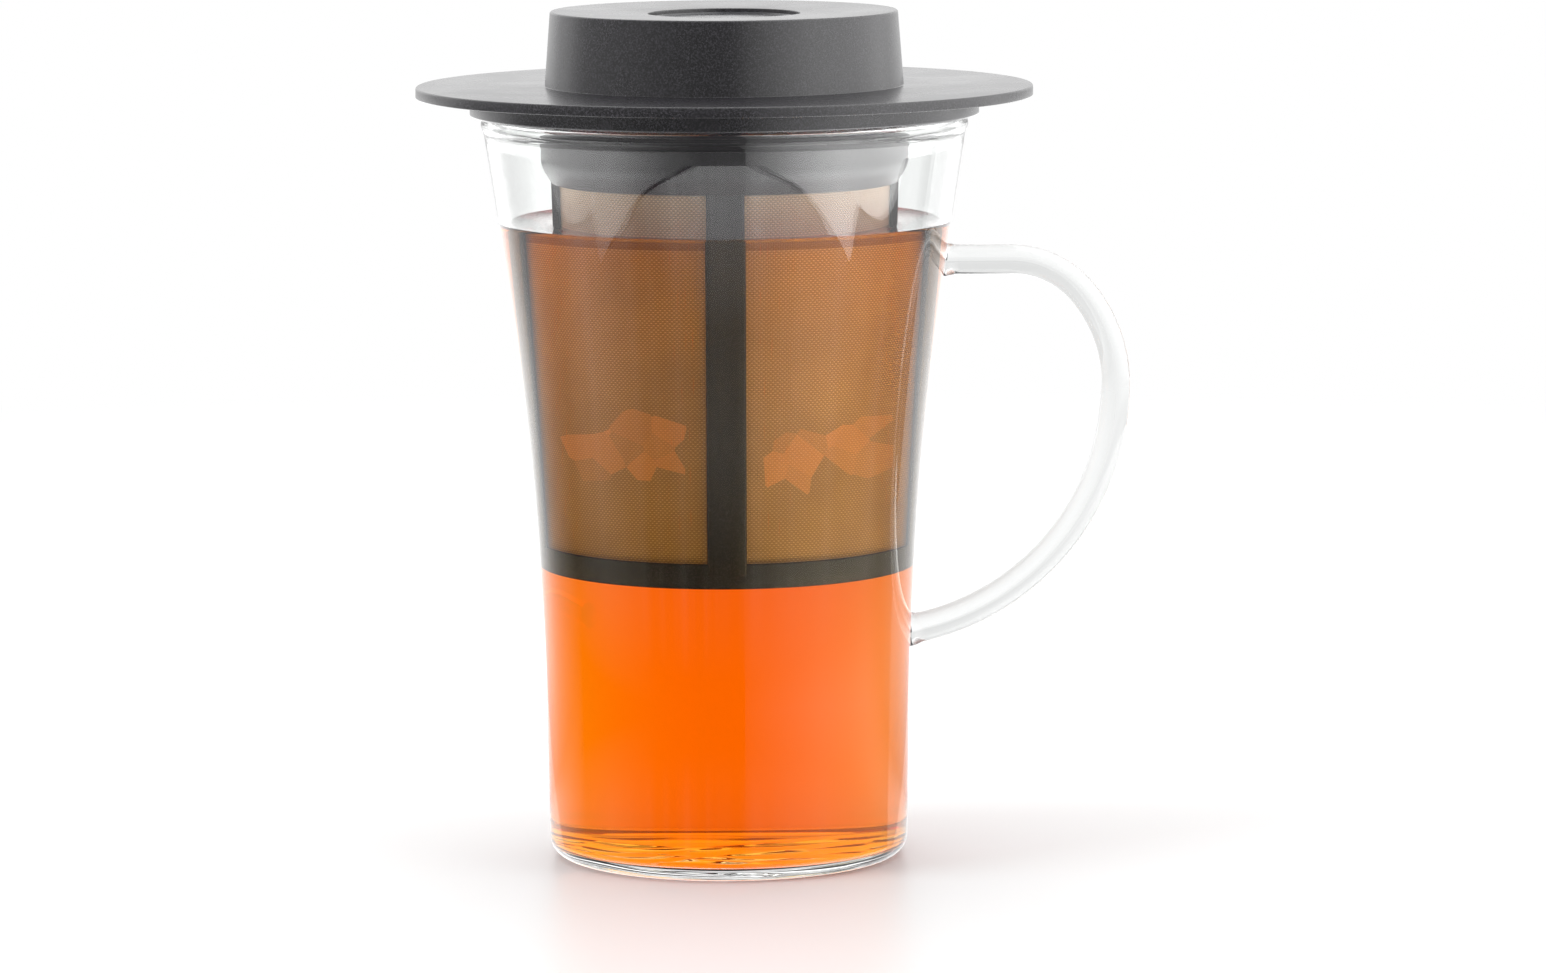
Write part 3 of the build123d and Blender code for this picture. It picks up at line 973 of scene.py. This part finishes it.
def mirrored_studio(nodes):
    """The strength of the studio's light for a ray that leaves a mirror."""
    ray = nodes.add("ShaderNodeTexCoord").outputs["Generated"]
    x, y, z = nodes.add("ShaderNodeSeparateXYZ", Vector=ray).outputs
    steep = nodes.math("MULTIPLY", z, -1.0)
    bearing = nodes.math("ARCTAN2", x, nodes.math("MULTIPLY", y, -1.0))
    bearing = nodes.math("DIVIDE", bearing, pi / 180)
    aside = nodes.math("ABSOLUTE", bearing)
    sunk = nodes.math("MULTIPLY", nodes.math("MULTIPLY", aside, aside), ARCH_BEND)
    side = nodes.math("SUBTRACT", ARCH_SIDE, nodes.math("MULTIPLY", aside, ARCH_SIDE_FALL))
    side = nodes.math("MINIMUM", side, ARCH_SIDE_TOP)
    arch = nodes.math("MAXIMUM", nodes.math("SUBTRACT", ARCH_STEEP, sunk), side)
    beyond = nodes.math("SUBTRACT", steep, arch)
    sheet = nodes.math("GREATER_THAN", beyond, 0.0)
    wall = nodes.remap(bearing, WALL_FROM, WALL_FULL, WALL_EDGE_LIGHT, WALL_LIGHT)
    wall = nodes.math("MULTIPLY", wall, nodes.math("GREATER_THAN", bearing, WALL_FROM))
    wall = nodes.math("MULTIPLY", wall, nodes.math("LESS_THAN", bearing, WALL_END))
    foot = nodes.remap(steep, 0.15, 0.22, 0.9, 0.5)
    foot = nodes.math("ADD", foot, nodes.remap(steep, 0.28, 0.36, 0.0, 0.35))
    foot = nodes.math("ADD", foot, nodes.math("MULTIPLY", sheet, 1.15))
    wall = nodes.math("MULTIPLY", wall, foot)
    back_left = nodes.remap(bearing, DARK_FROM - DARK_BLEND, DARK_FROM, 1.0, 0.0)
    back = nodes.math("ADD", nodes.math("GREATER_THAN", bearing, WALL_END), back_left)
    behind = nodes.remap(steep, -0.05, 0.05, BACKDROP_LIGHT, FLOOR_BEHIND_LIGHT)
    behind = nodes.math("ADD", behind, nodes.remap(steep, 0.08, 0.14, 0.0, 1.3))
    back = nodes.math("MULTIPLY", back, behind)
    dim = nodes.remap(steep, DIM_FROM, DIM_TO, 0.0, DIM_LIGHT)
    dim = nodes.math("ADD", dim, nodes.remap(steep, GREY_FROM, GREY_TO, 0.0, GREY_LIGHT))
    dim = nodes.math("MULTIPLY", dim, nodes.math("LESS_THAN", beyond, -ARCH_LINE))
    left = nodes.remap(bearing, LEFT_FROM, LEFT_FULL, 0.0, LEFT_LIGHT)
    left = nodes.math("MULTIPLY", left, nodes.remap(steep, 0.2, 0.3, 0.0, 1.0))
    dim = nodes.math("MULTIPLY", dim, nodes.math("LESS_THAN", aside, 90.0))
    level = nodes.remap(bearing, FRONT_FROM, FRONT_TO, FRONT_LEFT_LIGHT, FRONT_LIGHT)
    level = nodes.math("MULTIPLY", level, nodes.remap(steep, 0.05, 0.12, 1.0, 0.0))
    level = nodes.math("MULTIPLY", level, nodes.math("LESS_THAN", aside, FRONT_SIDE))
    dim = nodes.math("ADD", dim, level)
    lane = nodes.add("ShaderNodeCombineXYZ", X=bearing).outputs[0]
    streak = nodes.remap(nodes.noise(lane, STREAK_SCALE, detail=3.0), 0.45, 0.7, STREAK_DARK, STREAK_LIGHT)
    streak = nodes.math("MULTIPLY", streak, nodes.remap(steep, 0.22, 0.27, 0.0, 1.0))
    dim = nodes.math("ADD", dim, nodes.math("MULTIPLY", streak, nodes.math("LESS_THAN", beyond, 0.0)))
    pale = nodes.remap(aside, FACE_SIDE, PALE_FROM, FACE_LIGHT, PALE_LIGHT)
    pale = nodes.math("ADD", pale, nodes.remap(aside, PALE_FROM, PALE_SIDE, 0.0, PALE_SIDE_LIGHT))
    pale = nodes.math("MULTIPLY", pale, nodes.remap(steep, 0.42, 0.6, 1.0, 0.35))
    pale = nodes.math("MULTIPLY", pale, nodes.remap(aside, 45.0, 90.0, 1.0, PALE_END))
    front = nodes.math("ADD", dim, nodes.math("MULTIPLY", pale, sheet))
    above = nodes.remap(z, 0.35, 0.75, 0.0, 0.8)
    around = nodes.math("ADD", nodes.math("ADD", wall, left), nodes.math("ADD", back, front))
    return nodes.math("MAXIMUM", around, above)


def make_world():
    """White to the camera and through glass; to mirrors, a studio with a dark side."""
    world = bpy.data.worlds.new("studio")
    bpy.context.scene.world = world
    nodes = Nodes(world)
    path = nodes.add("ShaderNodeLightPath").outputs
    mirrored = mirrored_studio(nodes)
    light = nodes.mix_value(nodes.math("GREATER_THAN", path["Glossy Depth"], 0.5), 1.0, mirrored)
    light = nodes.mix_value(nodes.math("GREATER_THAN", path["Diffuse Depth"], 0.5), light, AMBIENT)
    back = nodes.add("ShaderNodeBackground", Strength=light)
    out = nodes.add("ShaderNodeOutputWorld")
    nodes.tree.links.new(back.outputs[0], out.inputs["Surface"])


FLOOR_HALF = 6.0
FLOOR_NEAR = 0.22
FLOOR_FAR = 0.7
FLOOR_LIFT = 0.03
# How much dimmer the near floor looks through the glass and tea.
FLOOR_DIMMED = 0.08
# The floor behind the mug, in its shade, as mirrors see it: from where, to where and how dim.
SHADE_NEAR, SHADE_FAR, SHADE = 0.1, 0.45, 0.35
# The strip of floor round the foot, as mirrors see it.
FOOT_NEAR, FOOT_FAR, FOOT_SHADE = 0.034, 0.075, 0.5
# From where on the floor looks dimmer through plain glass, and how bright it is there.
AIR_NEAR, AIR_FAR, AIR_LIGHT = 0.72, 0.95, 0.9
FLOOR_DROP = 0.1 * MM


def make_floor():
    """A white glossy floor that keeps the mug's shadow and runs out to plain white.

    Mirrors see through it to the studio, and other bounces see plain pale grey.
    """
    build = bmesh.new()
    corners = ((-1, -1), (1, -1), (1, 1), (-1, 1))
    build.faces.new([build.verts.new((x * FLOOR_HALF, y * FLOOR_HALF, -FLOOR_DROP)) for x, y in corners])
    made = object_from(build, "floor")
    material = bpy.data.materials.new("floor_white")
    nodes = Nodes(material)
    place = nodes.add("ShaderNodeTexCoord").outputs["Object"]
    away = nodes.add("ShaderNodeVectorMath", {"operation": "LENGTH"})
    nodes.tree.links.new(place, away.inputs[0])
    plain = nodes.remap(away.outputs["Value"], FLOOR_NEAR, FLOOR_FAR, 0.0, 1.0)
    gloss = nodes.add("ShaderNodeBsdfPrincipled", Roughness=0.38, IOR=1.25)
    gloss.inputs["Base Color"].default_value = colour(0.92, 0.92, 0.92)
    lift = nodes.add("ShaderNodeEmission", Strength=FLOOR_LIFT)
    lifted = nodes.add("ShaderNodeAddShader")
    nodes.tree.links.new(gloss.outputs[0], lifted.inputs[0])
    nodes.tree.links.new(lift.outputs[0], lifted.inputs[1])
    path = nodes.add("ShaderNodeLightPath").outputs
    through = nodes.remap(away.outputs["Value"], AIR_NEAR, AIR_FAR, THROUGH_LIGHT, AIR_LIGHT)
    through = nodes.mix_value(path["Is Transmission Ray"], 1.0, through)
    white = nodes.add("ShaderNodeEmission", Strength=through).outputs[0]
    black = nodes.add("ShaderNodeEmission", Strength=0.0).outputs[0]
    dimmed = nodes.math("MULTIPLY", path["Is Transmission Ray"], FLOOR_DIMMED)
    close = nodes.mix_shader(dimmed, lifted.outputs[0], black)
    near = nodes.mix_shader(plain, close, white)
    bounce = nodes.add("ShaderNodeBsdfDiffuse", Color=colour(0.8, 0.8, 0.8)).outputs[0]
    behind = nodes.remap(nodes.add("ShaderNodeSeparateXYZ", Vector=place).outputs[1], 0.0, 0.05, 0.0, 1.0)
    shade = nodes.remap(away.outputs["Value"], SHADE_NEAR, SHADE_FAR, SHADE, 1.0)
    shade = nodes.mix_value(behind, 1.0, shade)
    foot = nodes.remap(away.outputs["Value"], FOOT_NEAR, FOOT_FAR, FOOT_SHADE, 1.0)
    shade = nodes.math("MULTIPLY", shade, foot)
    clear = nodes.add("ShaderNodeBsdfTransparent", Color=shade).outputs[0]
    shader = nodes.mix_shader(nodes.math("GREATER_THAN", path["Glossy Depth"], 0.5), near, clear)
    dull = nodes.math("GREATER_THAN", path["Diffuse Depth"], 0.5)
    surface(nodes, nodes.mix_shader(dull, shader, bounce))
    made.data.materials.append(material)


def set_up_render():
    """Plain colours and enough bounces for glass, tea and the mesh."""
    scene = bpy.context.scene
    scene.view_settings.view_transform = "Standard"
    scene.cycles.max_bounces = 32
    scene.cycles.transmission_bounces = 24
    scene.cycles.transparent_max_bounces = 48
    scene.cycles.glossy_bounces = 8


# ---------------------------------------------------------------- everything

set_up_render()
make_camera()
make_lamps()
make_world()
make_floor()

charcoal = plastic_material("charcoal_lid", colour(0.018, 0.017, 0.02), 0.27, 0.85, 0.000014)
# Painted shade: the frame inside the glass gets a darker copy of the lid's charcoal, also rougher and less
# glossy.
shaded_charcoal_basket = plastic_material("shaded_charcoal_basket", colour(0.0085, 0.006, 0.0095), 0.42, 0.38, 0.00002)
gloss_black = plastic_material("badge_plastic", colour(0.012, 0.012, 0.016), 0.16, 0.85, 0.000005)
make_mug()
make_tea()
make_infuser_frame(shaded_charcoal_basket, charcoal)
make_mesh_wall(mesh_material("golden_mesh_rolled", True))
make_mesh_floor(mesh_material("golden_mesh_flat", False))
make_lid(charcoal)
make_badge(gloss_black)
